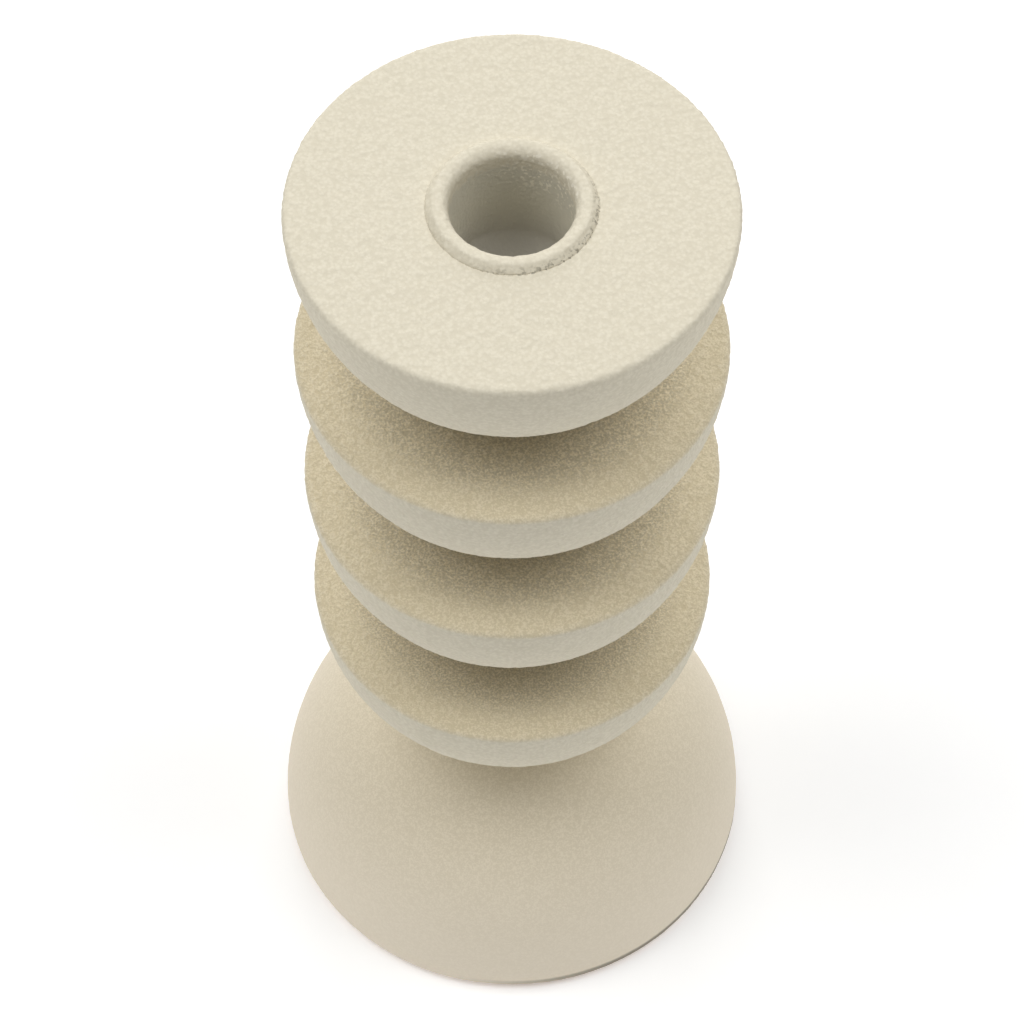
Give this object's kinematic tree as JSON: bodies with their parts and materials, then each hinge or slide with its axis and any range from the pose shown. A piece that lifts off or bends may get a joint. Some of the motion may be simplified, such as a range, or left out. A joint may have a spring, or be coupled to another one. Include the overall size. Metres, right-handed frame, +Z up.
{
  "type": "wooden candlestick",
  "caption": "Turned wooden candlestick of stacked half balls on a domed base, with a metal-lined socket for a taper candle and a felt-covered foot.",
  "frame": {"origin": "centre of the footprint, on the table", "axes": "+Z up along the turning axis, out of the candle socket; the stick is the same all round, so +X and +Y are any two horizontal directions"},
  "size_m": [0.1, 0.1, 0.2075],
  "materials": {
    "coated_wood": "matt cream paint with fine sand in it, over turned wood",
    "coated_metal": "the same matt cream sand paint, over pressed steel",
    "plated_steel": "bright zinc plating",
    "felt": "dark pressed felt"
  },
  "bodies": {
    "root": {"base_dome": "coated_wood", "half_ball_1": "coated_wood", "half_ball_2": "coated_wood", "half_ball_3": "coated_wood", "top_half_ball": "coated_wood", "candle_cup": "coated_metal", "tie_rod": "plated_steel", "top_washer": "plated_steel", "top_nut": "plated_steel", "base_washer": "plated_steel", "base_nut": "plated_steel", "base_pad": "felt"}
  },
  "joints": []
}
